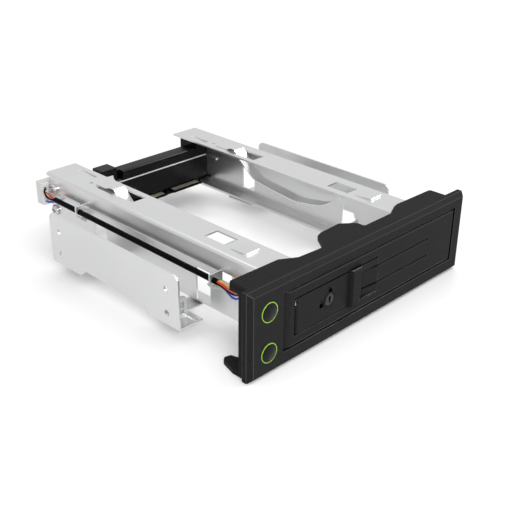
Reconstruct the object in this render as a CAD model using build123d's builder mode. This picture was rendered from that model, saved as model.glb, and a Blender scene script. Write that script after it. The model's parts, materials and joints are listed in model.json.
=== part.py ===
from build123d import *
import math
import os

os.makedirs("parts", exist_ok=True)

# Millimetres. X to the right seen from the front, Y to the rear, Z up.
# Origin: middle of the width, rear face of the bezel, bottom edge of the bezel.

# Bezel plate
bezel_width = 148.5
bezel_height = 41.6
bezel_depth = 4.8
bevel_inset = 1.9
bevel_depth = 2.3
skirt_wall = 2.0
skirt_inset = 1.65
skirt_side_x = bezel_width / 2 - skirt_inset
skirt_side_depth = 3.6
skirt_side_top = 37.0
skirt_corner_drop = 3.2
skirt_corner_depth = 9.6
skirt_corner_round = 1.9
skirt_root = 0.4
top_lobe_round = 1.4
bottom_lobe_round = 0.9
top_skirt_outline = [
    (-skirt_side_x, -0.4), (-skirt_side_x, 8.6), (-skirt_side_x + 1.6, 9.9), (-44.1, 9.3),
    (-36.4, 4.8), (-21.9, 3.8),
    (-15.5, 12.7), (-11.8, 14.1), (1.1, 14.7), (7.7, 9.4), (7.6, 5.1), (26.7, 5.1),
    (34.5, 8.8), (37.9, 9.6), (skirt_side_x - 9.0, 9.0), (skirt_side_x - 9.0, -0.4),
]
bottom_skirt_outline = [
    (-skirt_side_x, -0.4), (-skirt_side_x, 7.0), (-skirt_side_x + 2.2, 14.6),
    (-skirt_side_x + 4.0, 16.0), (-skirt_side_x + 7.0, 15.2), (-skirt_side_x + 8.6, 9.3),
    (-44.1, 9.3), (-36.4, 4.8), (26.7, 5.1), (37.9, 9.6), (skirt_side_x - 9.0, 9.0),
    (skirt_side_x - 2.0, 4.0), (skirt_side_x - 2.0, -0.4),
]

# Door and its opening
opening_left_inset = 19.35
opening_right_inset = 7.65
opening_drop = 6.1
opening_left = -bezel_width / 2 + opening_left_inset
opening_right = bezel_width / 2 - opening_right_inset
opening_bottom = 7.5
opening_top = bezel_height - opening_drop
door_gap = 0.3
door_thickness = 4.0
door_edge_slope = 3.6
door_edge_drop = 1.3
door_lip_slope = 0.9
nose_slot_front = -2.95
hinge_inset = 2.3
hinge_x = opening_right - hinge_inset
barrel_radius = 2.0
hinge_y = -bezel_depth + barrel_radius
hinge_pin_radius = 0.8
hinge_clearance = 0.05
hinge_pin_bottom = 4.5
hinge_pin_drop = 3.2
hinge_pin_top = bezel_height - hinge_pin_drop
pin_end_gap = 0.1
pin_chamfer = 0.2

# Latch lever in the door
lever_inset = 6.8
lever_length = 54.5
lever_drop = 5.6
lever_left = opening_left + lever_inset
lever_right = lever_left + lever_length
lever_bottom = 12.9
lever_top = opening_top - lever_drop
lever_gap = 0.45
lever_end_gap = 0.12
lever_thickness = 1.8
pocket_depth = 2.1
lever_barrel_radius = 1.7
lever_pin_radius = 0.6
lever_pivot_x = lever_left + lever_barrel_radius
lever_pivot_y = -bezel_depth + lever_barrel_radius
lever_pin_reach = 1.8
nose_height = 8.0
nose_tip_gap = 0.35
nose_tip_x = opening_left + nose_tip_gap
nose_thickness = 1.6
nose_rear = -1.0
spring_coil_radius = 1.0
spring_wire_radius = 0.2
spring_turns = 3
spring_pitch = 0.44
spring_wire_sides = 4
spring_cut_front = 0.4
spring_cut_drop = 0.4
spring_cut_height = 3.2
spring_bottom = lever_top - 3.8
bar_base_inset = (20.1, 11.4)
bar_front_inset = (19.2, 14.4)
bar_base_left = lever_right - bar_base_inset[0]
bar_front_left = lever_right - bar_front_inset[0]
bar_front_right = lever_right - bar_front_inset[1]
bar_base_right = lever_right - bar_base_inset[1]
bar_front_y = -6.7
bar_foot = 0.4
bar_end_chamfer = 0.8
bar_edge_round = 0.4
bar_overhang = 0.12
bar_bottom = lever_bottom - 0.4
bar_top = lever_top + 0.6
scoop_bottom = lever_bottom + 0.1
scoop_top = lever_top - 3.4
scoop_depth = 1.05
scoop_inset = 0.05
scoop_end = 0.1
groove_width = 0.8
groove_depth = 0.6
scoop_groove_depth = 0.35
groove_inset = (11.0, 21.0)
groove_left = lever_right - groove_inset[0]
groove_right = opening_right - groove_inset[1]
groove_upper_z = lever_top - 3.9
groove_lower_z = lever_bottom + 4.4

# Lock
lock_inset = 21.5
lock_x = lever_left + lock_inset
lock_z = (lever_bottom + lever_top) / 2
housing_radius = 3.75
housing_face = -5.1
plug_radius = 2.7
plug_face = -4.95
plug_clearance = 0.06
collar_chamfer = 0.35
collar_rear = 0.3
collar_seat_depth = 0.6
plug_rear_reach = 0.2
shaft_front = -3.0
key_slot_depth = 1.2
key_slot_width = 0.9
key_slot_height = 3.4
shaft_radius = 1.3
cam_length = 9.0
cam_width = 2.6
cam_front_y = -0.62
cam_thickness = 0.8
cam_slot_half = 5.4
cam_slot_left = lock_x - cam_slot_half
cam_slot_right = lock_x + cam_slot_half
cam_slot_height = 3.4

# Buttons, light rings and their switch board
button_inset = 10.9
button_drop = 11.5
button_rise = 11.1
button_x = -bezel_width / 2 + button_inset
button_heights = (bezel_height - button_drop, button_rise)
ring_radius = 4.45
ring_bore_radius = 4.16
ring_face = -4.95
ring_flange_radius = 5.2
ring_flange_depth = 0.8
ring_overlap = 0.2
cap_clearance = 0.08
cap_rim_y = -5.0
cap_dome = 0.6
dome_steps = 3
cap_flange_radius = 4.65
cap_flange_front = 0.88
cap_flange_depth = 0.45
stem_radius = 1.4
stem_end = 1.6
board_front = 4.2
board_thickness = 1.6
switch_board_reach = (6.85, 5.15)
switch_board_rise = 5.0
switch_board_drop = 5.2
switch_board_x = (button_x - switch_board_reach[0], button_x + switch_board_reach[1])
switch_board_z = (switch_board_rise, bezel_height - switch_board_drop)
boss_radius = 2.0
boss_z = (button_heights[0] + button_heights[1]) / 2
boss_reach = (4.25, 3.75)
boss_xs = (button_x - boss_reach[0], button_x + boss_reach[1])
boss_root = -0.4
boss_bore_front = 0.6
board_screw_gap = 0.1
tact_size = 4.5
tact_body_depth = 1.6
tact_pin_radius = 1.2
tact_pin_reach = 0.15
tact_pin_root = 0.1
plug_side = (1.25, 1.75)
plug_drop = (11.2, 5.6)
plug_x = (button_x - plug_side[0], button_x + plug_side[1])
plug_z = (bezel_height - plug_drop[0], bezel_height - plug_drop[1])
plug_rear = 9.4
plug_chamfer = 0.4
plug_wire_pitch = 1.3
plug_wire_count = 4
plug_socket_depth = 1.4

# Rails: folded one millimetre sheet
sheet = 1.0
rail_inset = 21.95
web_outer = bezel_width / 2 - rail_inset
flange_top = 38.3
flange_width = 18.2
flange_inner = web_outer - flange_width
ledge_top = 8.7
ledge_width = 7.1
lip_inner = web_outer - ledge_width
lip_bottom = 6.9
rail_front = 5.0
rail_rear = 166.9
web_rear = 164.0
bend_outer = 1.8
bend_inner = 0.8
slot_inset = (15.2, 7.2)
slot_x = (web_outer - slot_inset[0], web_outer - slot_inset[1])
spring_slot_y = (104.2, 119.6)
front_hole_y = (39.3, 52.8)
front_hole_inset = (14.7, 6.7)
front_hole_x = (web_outer - front_hole_inset[0], web_outer - front_hole_inset[1])
louver_inset = (13.9, 5.7)
louver_x = (web_outer - louver_inset[0], web_outer - louver_inset[1])
louver_y = (25.3, 35.0)
louver_root = 0.6
louver_rise = 1.15
louver_gap = 0.1
far_slot_inset = (15.1, 12.3)
far_slot_x = (web_outer - far_slot_inset[0], web_outer - far_slot_inset[1])
far_slot_y = (143.0, 156.0)
far_tab_drop = 1.1
far_tab_gap = 0.4
far_tab_root = 0.6
guide_slot_inset = (7.6, 6.0)
guide_slot_x = (web_outer - guide_slot_inset[0], web_outer - guide_slot_inset[1])
guide_slot_y = (119.0, 131.4)
guide_hole_inset = 7.4
guide_hole = (web_outer - guide_hole_inset, 131.9)
guide_hole_radius = 1.0
earmark = [
    (flange_inner + 0.5, 139.0), (flange_inner - 3.7, 138.8), (flange_inner - 0.9, 134.4),
    (flange_inner + 0.5, 130.6),
]
bead_z = 29.0
bead_half = 0.5
bead_rise = 0.3
bead_rear = 156.5
pilot_radius = 0.9
pilot_inset = (12.7, 7.8)
right_pilot = (web_outer - pilot_inset[0], 138.3)
left_pilot = (-web_outer + pilot_inset[1], 138.0)
rib_y = (148.4, 156.9)
rib_z = (22.6, 23.9)
rib_rise = 1.0
right_window_y = (42.0, 53.0)
left_window_y = (42.0, 51.3)
left_window_z = (9.6, 25.8)
front_notch_y = 28.2
front_notch_z = (25.0, 29.6)
rear_notch_y = 139.4
rear_notch_z = (25.4, 29.2)
rear_window_y = (117.3, 126.8)
window_z = (12.0, 24.0)
snap_y = (6.2, 8.6)
snap_rear = 9.2
snap_band_bottom = flange_top - 6.7
snap_arm = 2.0
snap_clearance = 0.1
snap_upper_z = (flange_top - 5.3, flange_top - 2.9)
snap_lower_z = (10.4, 12.2)
side_screw_y = 160.4
side_screw_z = (30.5, 18.9)
side_screw_hole = 1.6

# Cable hooks on the left rail
cable_reach = 4.2
cable_x = -web_outer - cable_reach
cable_front_z = 26.6
cable_rear_z = 27.7
front_hook_y = (35.0, 36.0)
rear_hook_y = (132.4, 133.4)
hook_wall = 2.3
hook_outer = cable_x - hook_wall
hook_rise = 3.3
hook_drop = 2.7
hook_bore = 1.6
hook_entry = 2.2
hook_entry_height = 2.6
hook_entry_sink = 0.6
hook_slope = 1.2
hook_round = 0.6
tongue_setback = 4.0
tongue_drop = 7.4
tongue_length = 3.6
# tongue section: distance out of the web and height over its lowest point
tongue_section = [(3.0, 2.2), (3.9, 3.8), (3.0, 3.8), (2.2, 2.8)]
tongue_root_height = 1.2

# Leaf springs
leaf_inset = 11.2
leaf_x = web_outer - leaf_inset
leaf_width = 7.0
leaf_sheet = 0.45
leaf_gap = 0.03
leaf_path = [
    (134.2, 0.0), (126.0, 0.0), (123.0, 1.35), (119.9, 1.35), (115.4, -3.4), (104.8, -11.8),
    (92.0, -13.6), (73.7, -15.4), (55.4, -12.4), (47.0, -6.6), (41.6, -1.53), (30.4, -1.53),
]
leaf_radii = [3.0, 1.8, 1.9, 8.0, 8.0, 24.0, 30.0, 20.0, 8.0, 3.0]

# Side brackets
bracket_inset = 1.25
bracket_outer = bezel_width / 2 - bracket_inset
bracket_front = 39.4
bracket_rear = 134.6
bracket_top = 32.5
bracket_corner = 3.6
strip_top = 6.88
strip_bottom = strip_top - sheet
waist_z = 9.7
bracket_outline = [
    (bracket_front, strip_bottom), (59.8, strip_bottom), (61.4, waist_z), (107.0, waist_z),
    (112.0, strip_bottom), (bracket_rear, strip_bottom), (bracket_rear, bracket_top),
    (bracket_front, bracket_top),
]
strip_inset = 7.7
strip_inner = web_outer - strip_inset
front_strip_y = (49.7, 58.4)
rear_strip_y = (113.0, 131.5)
foot_width = 13.7
foot_inner = bracket_outer - foot_width
foot_y = (39.6, 50.2)
tab_y = (45.6, 46.6)
tab_inset = (10.0, 2.5)
tab_x = (bracket_outer - tab_inset[0], bracket_outer - tab_inset[1])
tab_top = 17.7
tab_round = 2.2
tab_window_inset = (8.4, 5.8)
tab_window = (bracket_outer - tab_window_inset[0], bracket_outer - tab_window_inset[1])
tab_window_z = ((12.1, 15.1), (9.5, 11.3))
bay_hole_y = (47.4, 126.65)
bay_hole_z = (12.0, 23.84)
bay_hole_radius = 1.5
strip_overlap = 0.2
foot_bend = 0.7
ridge_steps = (2.0, 6.5)
ridge_width = 1.6
ridge_front_gap = 1.2
ridge_rear_gap = 2.0
ridge_rise = 0.5

# Rear holder, back board and connectors
holder_side_gap = 0.1
holder_side = web_outer - sheet - holder_side_gap
cheek_y = (157.0, 163.8)
cheek_width = 7.2
cheek_inner = holder_side - cheek_width
holder_bottom = 9.0
holder_wall = 1.6
cheek_drop = 0.5
shelf_top = 12.0
shelf_front = 148.6
shelf_setback = 4.6
shelf_thickness = 1.4
back_wall_top = 23.0
face_wall_y = (149.9, 151.5)
face_wall_z = (15.0, 27.6)
roof_thickness = 1.4
bar_z = (28.4, 33.8)
bar_y = (149.4, 157.2)
bar_x = (-16.4, cheek_inner)
bar_slope = 0.6
left_tab_x = (-29.0, -19.4)
left_tab_y = (150.4, 159.0)
left_tab_top = 36.2
left_tab_neck = 2.2
riser_width = 8.0
riser_x = (cheek_inner - riser_width, cheek_inner)
riser_y = (149.4, 163.0)
riser_top = 36.5
tie_strip_z = (27.62, 28.38)
tie_strip_y = (149.6, 156.2)
tie_strip_gap = 0.2
tie_strip_x = (-30.0, cheek_inner - tie_strip_gap)
back_board_gap = 0.8
back_board_half = holder_side - back_board_gap
board_x = (-back_board_half, back_board_half)
back_board_y = (163.8, 165.4)
back_board_z = (12.0, 27.8)
board_post_radius = 2.8
board_post_inset = 5.2
board_post_x = holder_side - board_post_inset
board_posts = [(-40.0, 16.4), (board_post_x, 16.0), (board_post_x, 24.4), (-24.0, 24.4)]
board_hole = 1.3
board_screw_depth = 3.6
board_screw_reach = 3.2
socket_x = (0.4, 41.6)
socket_room = 0.3
socket_z = (9.0, 14.6)
socket_front = 153.5
blade_front = 148.6
blade_z = (11.2, 12.36)
data_blade_x = (2.7, 12.8)
power_blade_x = (18.0, 39.4)
blade_chamfer = 0.3
key_gap = 1.2
key_height = 1.5
key_depth = 4.0
contact_pitch = 1.27
contact_width = 0.8
contact_sheet = 0.12
contact_setback = 1.2
contact_length = 3.5
data_contacts = 7
power_contacts = 15
inlet_z = (15.6, 20.8)
data_inlet_x = (0.4, 15.0)
power_inlet_x = (18.4, 39.8)
inlet_rear = 172.6
inlet_depth = 5.6
inlet_wall = 0.9
inlet_chamfer = 0.5
inlet_tongue_side = 2.2
inlet_tongue_setback = 0.8
inlet_tongue_rise = 0.6
inlet_tongue_sheet = 1.2
wafer_reach = (4.2, 7.1)
wafer_x = (-web_outer - wafer_reach[0], -web_outer + wafer_reach[1])
wafer_y = (165.4, 171.5)
wafer_z = (21.0, 33.0)
wafer_chamfer = 0.5
wafer_wire_pitch = 2.5
wafer_wire_margin = 1.9
wafer_wire_count = 4
wafer_socket_depth = 2.2

# Lead
sleeve_radius = 1.35
sleeve_bore = 1.18
sleeve_front = 32.2
sleeve_rear = 154.0
wire_radius = 0.46
bundle_offset = 0.49
wire_bend = 1.1
wire_plug_reach = 1.2
wire_plug_straight = 1.6
wire_wafer_reach = 2.0
wire_wafer_straight = 1.6
bundle_rear_reach = 1.2
bundle_front_reach = 1.4
# Bends of each wire, counted from the sleeve's line, the wafer's face and the front plug
wire_black_rear = [(-1.7, -4.0, 3.5), (-2.5, -7.4, 0.7)]
wire_black_front = [(1.9, 7.6, 0.9)]
wire_red_rear = [(-0.3, -6.6, 1.5)]
wire_red_front = [(1.6, 7.6, 2.2)]
wire_yellow_rear = [(1.3, -7.6, -0.9)]
wire_yellow_front = [(2.2, 7.6, 3.7)]
wire_blue_rear = [(1.5, -7.8, -3.1)]
wire_blue_front = [(6.8, 19.6, -1.4), (1.4, 7.6, -0.8)]
wire_sides = 8
wafer_wire_inset = 1.8
wafer_wire_x = wafer_x[0] + wafer_wire_inset

# Screws
screw_head_radius = 2.75
screw_head_height = 1.7
screw_shank_radius = 1.45
screw_length = 6.0
small_head_radius = 2.1
small_head_height = 1.4
small_shank_radius = 1.2
screw_chamfer = 0.7
screw_overlap = 0.3
recess_width = 0.7
recess_half = 1.6
small_chamfer = 0.55
small_recess_width = 0.6
small_recess_half = 1.2
small_recess_depth = 0.8
switch_screw_end = 1.0
recess_depth = 1.0
fit_gap = 0.02


def near(value, target):
    """Whether two places are the same but for rounding."""
    return abs(value - target) < 0.01


def at_y(y):
    """Plane facing the front at the given depth; local axes run along X and Z."""
    return Plane.XZ.offset(-y)


def block(x, y, z, mode=Mode.ADD):
    """Straight-sided region between two limits on each axis."""
    with Locations(((x[0] + x[1]) / 2, (y[0] + y[1]) / 2, (z[0] + z[1]) / 2)):
        Box(abs(x[1] - x[0]), abs(y[1] - y[0]), abs(z[1] - z[0]), mode=mode)


def rod_y(x, z, radius, y, mode=Mode.ADD):
    """Round rod or bore along Y."""
    with Locations(Location((x, (y[0] + y[1]) / 2, z), (90, 0, 0))):
        Cylinder(radius, abs(y[1] - y[0]), mode=mode)


def rod_x(y, z, radius, x, mode=Mode.ADD):
    """Round rod or bore along X."""
    with Locations(Location(((x[0] + x[1]) / 2, y, z), (0, 90, 0))):
        Cylinder(radius, abs(x[1] - x[0]), mode=mode)


def rod_z(x, y, radius, z, mode=Mode.ADD):
    """Round rod or bore along Z."""
    with Locations((x, y, (z[0] + z[1]) / 2)):
        Cylinder(radius, abs(z[1] - z[0]), mode=mode)


def span(a, b, side):
    """Limits along X for one side of the cage."""
    return (side * a, side * b)


def save(part, name):
    """Name one sub-part and write its file."""
    part.label = name
    export_step(part, "parts/" + name + ".step")


def make_bezel_frame():
    """Front plate with bevelled edges, lobed skirts, bosses and snap arms."""
    bevel_y = -bezel_depth + bevel_depth
    middle_z = bezel_height / 2
    with BuildPart() as frame:
        with BuildSketch(at_y(-bezel_depth)):
            with Locations((0, middle_z)):
                Rectangle(bezel_width - 2 * bevel_inset, bezel_height - 2 * bevel_inset)
        with BuildSketch(at_y(bevel_y)):
            with Locations((0, middle_z)):
                Rectangle(bezel_width, bezel_height)
        loft()
        with BuildSketch(at_y(0)):
            with Locations((0, middle_z)):
                Rectangle(bezel_width, bezel_height)
        extrude(amount=-bevel_y)
        with BuildSketch(Plane.XY.offset(bezel_height - skirt_wall)) as top_lobes:
            with BuildLine():
                Polyline(*top_skirt_outline, close=True)
            make_face()
            fillet(top_lobes.vertices().filter_by(lambda v: v.Y > 0), top_lobe_round)
        extrude(amount=skirt_wall)
        with BuildSketch(Plane.XY) as bottom_lobes:
            with BuildLine():
                Polyline(*bottom_skirt_outline, close=True)
            make_face()
            fillet(bottom_lobes.vertices().filter_by(lambda v: v.Y > 0), bottom_lobe_round)
        extrude(amount=skirt_wall)
        for side in (-1, 1):
            block(span(skirt_side_x - skirt_wall, skirt_side_x, side), (0, skirt_side_depth),
                  (0, skirt_side_top if side > 0 else bezel_height - skirt_wall / 2))
        block((-skirt_side_x, -skirt_side_x + skirt_wall), (0, skirt_corner_depth - skirt_wall / 2),
              (bezel_height - skirt_corner_drop, bezel_height - skirt_wall / 2))
        with BuildSketch(at_y(skirt_corner_depth + 2)):
            arc_x = -skirt_side_x + skirt_corner_round
            arc_z = bezel_height - skirt_corner_round
            with Locations((arc_x - skirt_corner_round, arc_z + skirt_corner_round)):
                Rectangle(2 * skirt_corner_round, 2 * skirt_corner_round)
            with Locations((arc_x, arc_z)):
                Circle(skirt_corner_round, mode=Mode.SUBTRACT)
        extrude(amount=skirt_corner_depth + 2, mode=Mode.SUBTRACT)
        block((opening_left, opening_right), (-bezel_depth - 1, skirt_corner_depth * 3),
              (opening_bottom, opening_top), mode=Mode.SUBTRACT)
        inner = web_outer + snap_clearance
        for side in (-1, 1):
            for reach, band in ((snap_upper_z, (snap_band_bottom, bezel_height - skirt_wall / 2)),
                                (snap_lower_z, (skirt_wall / 2, snap_lower_z[1]))):
                block(span(inner, inner + snap_arm, side), (skirt_root, snap_rear), band)
                block(span(web_outer - sheet + snap_clearance, inner + snap_clearance, side),
                      (snap_y[0] + snap_clearance, snap_y[1] - snap_clearance),
                      (reach[0] + snap_clearance, reach[1] - snap_clearance))
        rod_z(hinge_x, hinge_y, hinge_pin_radius, (hinge_pin_bottom, hinge_pin_top), mode=Mode.SUBTRACT)
        for z in button_heights:
            rod_y(button_x, z, ring_radius + fit_gap, (-bezel_depth - 1, 1), mode=Mode.SUBTRACT)
        for x in boss_xs:
            rod_y(x, boss_z, boss_radius, (boss_root, board_front))
            rod_y(x, boss_z, small_shank_radius, (boss_bore_front, board_front + 1), mode=Mode.SUBTRACT)
    save(frame.part, "bezel_frame")


def make_door_leaf():
    """Swinging front leaf: hinge barrel, lever pocket, scoop and decorative grooves."""
    left = opening_left + door_gap
    bottom = opening_bottom + door_gap
    top = opening_top - door_gap
    front = -bezel_depth
    rear = front + door_thickness
    floor = front + pocket_depth
    with BuildPart() as leaf:
        with BuildSketch(Plane.XY.offset(bottom)) as plan:
            with BuildLine():
                Polyline((left, front + door_edge_drop), (left + door_edge_slope, front),
                         (hinge_x, front), (hinge_x, rear), (left, rear), close=True)
            make_face()
        extrude(amount=top - bottom)
        rod_z(hinge_x, hinge_y, barrel_radius, (bottom, top))
        chamfer(leaf.edges().filter_by(Axis.X).filter_by(lambda e: near(e.center().Y, front)),
                door_lip_slope)
        rod_z(hinge_x, hinge_y, hinge_pin_radius + hinge_clearance, (bottom - 1, top + 1),
              mode=Mode.SUBTRACT)
        block((lever_left - lever_gap, lever_right + lever_end_gap), (front - 1, floor),
              (lever_bottom - lever_gap, lever_top + lever_gap), mode=Mode.SUBTRACT)
        block((lever_left - lever_gap, lever_pivot_x + lever_barrel_radius + lever_gap),
              (front - 1, rear + 1), (lever_bottom - lever_gap, lever_top + lever_gap),
              mode=Mode.SUBTRACT)
        nose_z = (lock_z - nose_height / 2 - lever_gap, lock_z + nose_height / 2 + lever_gap)
        block((left - 1, lever_left), (nose_slot_front, rear + 1), nose_z, mode=Mode.SUBTRACT)
        rod_z(lever_pivot_x, lever_pivot_y, lever_pin_radius,
              (lever_bottom - lever_pin_reach, lever_top + lever_pin_reach), mode=Mode.SUBTRACT)
        block((cam_slot_left, cam_slot_right), (floor - 1, rear + 1),
              (lock_z - cam_slot_height / 2, lock_z + cam_slot_height / 2), mode=Mode.SUBTRACT)
        rod_y(lock_x, lock_z, housing_radius + lever_gap, (floor - 1, floor + collar_seat_depth),
              mode=Mode.SUBTRACT)
        for z in (groove_upper_z, groove_lower_z):
            block((lever_right, groove_right), (front - 1, front + groove_depth),
                  (z - groove_width / 2, z + groove_width / 2), mode=Mode.SUBTRACT)
    save(leaf.part, "door_leaf")


def make_door_hinge_pin():
    with BuildPart() as pin:
        rod_z(hinge_x, hinge_y, hinge_pin_radius - fit_gap / 2,
              (hinge_pin_bottom + pin_end_gap, hinge_pin_top - pin_end_gap))
        chamfer(pin.edges().filter_by(GeomType.CIRCLE), pin_chamfer)
    save(pin.part, "door_hinge_pin")


def make_latch_lever():
    """Flat lever with pivot barrel, latch nose, pull bar and finger scoop."""
    front = -bezel_depth
    rear = front + lever_thickness
    with BuildPart() as lever:
        block((lever_pivot_x, lever_right), (front, rear), (lever_bottom, lever_top))
        rod_z(lever_pivot_x, lever_pivot_y, lever_barrel_radius, (lever_bottom, lever_top))
        block((nose_tip_x, lever_pivot_x), (nose_rear - nose_thickness, nose_rear),
              (lock_z - nose_height / 2, lock_z + nose_height / 2))
        with BuildSketch(Plane.XY.offset(bar_bottom)) as bar_section:
            with BuildLine():
                Polyline((bar_base_left, front + bar_foot), (bar_base_left, front),
                         (bar_front_left, bar_front_y), (bar_front_right, bar_front_y),
                         (bar_base_right, front), (bar_base_right, front + bar_foot), close=True)
            make_face()
        extrude(amount=bar_top - bar_bottom)
        ends = lever.edges().filter_by(Axis.X).filter_by(lambda e: near(e.center().Y, bar_front_y))
        chamfer(ends, bar_end_chamfer)
        sides = lever.edges().filter_by(Axis.Z).filter_by(lambda e: near(e.center().Y, bar_front_y))
        fillet(sides, bar_edge_round)
        for overhang in ((lever_top, bar_top + 1), (bar_bottom - 1, lever_bottom)):
            block((bar_base_left - 1, bar_base_right + 1), (front - bar_overhang, front + 1), overhang,
                  mode=Mode.SUBTRACT)
        with BuildSketch(Plane.XY.offset(scoop_bottom)) as scoop:
            with BuildLine():
                Polyline((bar_base_right + scoop_inset, front - 1),
                         (bar_base_right + scoop_inset, front + scoop_depth),
                         (lever_right - scoop_end, front), (lever_right - scoop_end, front - 1), close=True)
            make_face()
        extrude(amount=scoop_top - scoop_bottom, mode=Mode.SUBTRACT)
        block((groove_left, lever_right + 1), (front - 1, front + groove_depth),
              (groove_upper_z - groove_width / 2, groove_upper_z + groove_width / 2), mode=Mode.SUBTRACT)
        with BuildSketch(Plane.XY.offset(groove_lower_z - groove_width / 2)) as low_groove:
            with BuildLine():
                Polyline((groove_left, front - 1), (groove_left, front + scoop_depth + scoop_groove_depth),
                         (lever_right + scoop_end, front + groove_depth),
                         (lever_right + scoop_end, front - 1), close=True)
            make_face()
        extrude(amount=groove_width, mode=Mode.SUBTRACT)
        rod_z(lever_pivot_x, lever_pivot_y, lever_pin_radius + hinge_clearance,
              (lever_bottom - 1, lever_top + 1), mode=Mode.SUBTRACT)
        low = spring_bottom - spring_cut_drop
        block((lever_left - 1, lever_pivot_x + lever_barrel_radius + pin_end_gap),
              (front + spring_cut_front, 1), (low, low + spring_cut_height), mode=Mode.SUBTRACT)
        rod_y(lock_x, lock_z, housing_radius, (front - 2, rear + 1), mode=Mode.SUBTRACT)
    save(lever.part, "latch_lever")


def make_lever_pin():
    with BuildPart() as pin:
        rod_z(lever_pivot_x, lever_pivot_y, lever_pin_radius - fit_gap / 2,
              (lever_bottom - lever_pin_reach + pin_end_gap, lever_top + lever_pin_reach - pin_end_gap))
    save(pin.part, "lever_pin")


def make_lever_spring():
    """Wound return spring around the lever pin."""
    with BuildPart() as coil:
        with BuildLine() as turns:
            Helix(spring_pitch, spring_pitch * spring_turns, spring_coil_radius,
                  center=(lever_pivot_x, lever_pivot_y, spring_bottom))
        with BuildSketch(Plane(turns.line @ 0, z_dir=turns.line % 0)):
            RegularPolygon(spring_wire_radius, spring_wire_sides)
        sweep(is_frenet=True)
    save(coil.part, "lever_spring")


def make_lock_housing():
    """Raised collar of the key lock, set into the lever."""
    with BuildPart() as collar:
        rod_y(lock_x, lock_z, housing_radius - fit_gap,
              (housing_face, -bezel_depth + lever_thickness + collar_rear))
        chamfer(collar.edges().group_by(Axis.Y)[0], collar_chamfer)
        rod_y(lock_x, lock_z, plug_radius + plug_clearance, (housing_face - 1, 1), mode=Mode.SUBTRACT)
    save(collar.part, "lock_housing")


def make_lock_plug():
    """Turning cylinder with the key slot and its drive shaft."""
    with BuildPart() as plug:
        rod_y(lock_x, lock_z, plug_radius, (plug_face, -bezel_depth + lever_thickness + plug_rear_reach))
        rod_y(lock_x, lock_z, shaft_radius, (shaft_front, cam_front_y))
        key_y = (plug_face - 1, plug_face + key_slot_depth)
        block((lock_x - key_slot_width / 2, lock_x + key_slot_width / 2), key_y,
              (lock_z - key_slot_height / 2, lock_z + key_slot_height / 2), mode=Mode.SUBTRACT)
        rod_y(lock_x, lock_z + key_slot_height / 4, key_slot_width, key_y, mode=Mode.SUBTRACT)
    save(plug.part, "lock_plug")


def make_lock_cam():
    """Flat cam behind the door that turns across the slot."""
    with BuildPart() as cam:
        with BuildSketch(at_y(cam_front_y + cam_thickness)):
            with Locations((lock_x, lock_z)):
                SlotOverall(cam_length, cam_width)
        extrude(amount=cam_thickness)
    save(cam.part, "lock_cam")


def make_light_ring(name, z):
    """Thin clear ring around one button, flanged behind the bezel."""
    with BuildPart() as ring:
        rod_y(button_x, z, ring_radius, (ring_face, ring_overlap))
        rod_y(button_x, z, ring_flange_radius, (fit_gap, ring_flange_depth))
        rod_y(button_x, z, ring_bore_radius, (ring_face - 1, 2), mode=Mode.SUBTRACT)
    save(ring.part, name)


def make_button(name, z):
    """Domed push cap with retaining flange and stem."""
    cap_radius = ring_bore_radius - cap_clearance
    dome_radius = (cap_radius ** 2 + cap_dome ** 2) / (2 * cap_dome)
    dome = []
    for step in range(dome_steps + 1):
        r = cap_radius * step / dome_steps
        dome.append((r, cap_rim_y - cap_dome + dome_radius - math.sqrt(dome_radius ** 2 - r ** 2)))
    with BuildPart() as cap:
        with BuildSketch(Plane(origin=(button_x, 0, z), x_dir=(1, 0, 0), z_dir=(0, 0, 1))):
            with BuildLine():
                Polyline(*dome, (cap_radius, cap_flange_front),
                         (cap_flange_radius, cap_flange_front),
                         (cap_flange_radius, cap_flange_front + cap_flange_depth),
                         (stem_radius, cap_flange_front + cap_flange_depth), (stem_radius, stem_end),
                         (0, stem_end), close=True)
            make_face()
        revolve(axis=Axis((button_x, 0, z), (0, 1, 0)))
    save(cap.part, name)


def make_switch_board():
    with BuildPart() as board:
        block(switch_board_x, (board_front, board_front + board_thickness), switch_board_z)
        for x in boss_xs:
            rod_y(x, boss_z, small_shank_radius + board_screw_gap,
                  (board_front - 1, board_front + board_thickness + 1), mode=Mode.SUBTRACT)
    save(board.part, "switch_board")


def make_button_switches():
    """Two small push switches on the front of the switch board."""
    body = (board_front - tact_body_depth, board_front)
    half = tact_size / 2
    with BuildPart() as switches:
        for z in button_heights:
            block((button_x - half, button_x + half), body, (z - half, z + half))
            rod_y(button_x, z, tact_pin_radius, (body[0] - tact_pin_reach, body[0] + tact_pin_root))
    save(switches.part, "button_switches")


def make_front_plug():
    """White four-way plug on the switch board."""
    with BuildPart() as plug:
        block(plug_x, (board_front + board_thickness, plug_rear), plug_z)
        chamfer(plug.edges().filter_by(Axis.Z), plug_chamfer)
        for z in front_wire_heights():
            rod_y((plug_x[0] + plug_x[1]) / 2, z, wire_radius,
                  (plug_rear - plug_socket_depth, plug_rear + 1), mode=Mode.SUBTRACT)
    save(plug.part, "front_plug")


def front_wire_heights():
    """Wire heights at the front plug, top to bottom: yellow, red, black, blue."""
    top = (plug_z[0] + plug_z[1]) / 2 + plug_wire_pitch * (plug_wire_count - 1) / 2
    return [top - plug_wire_pitch * i for i in range(plug_wire_count)]


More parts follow.
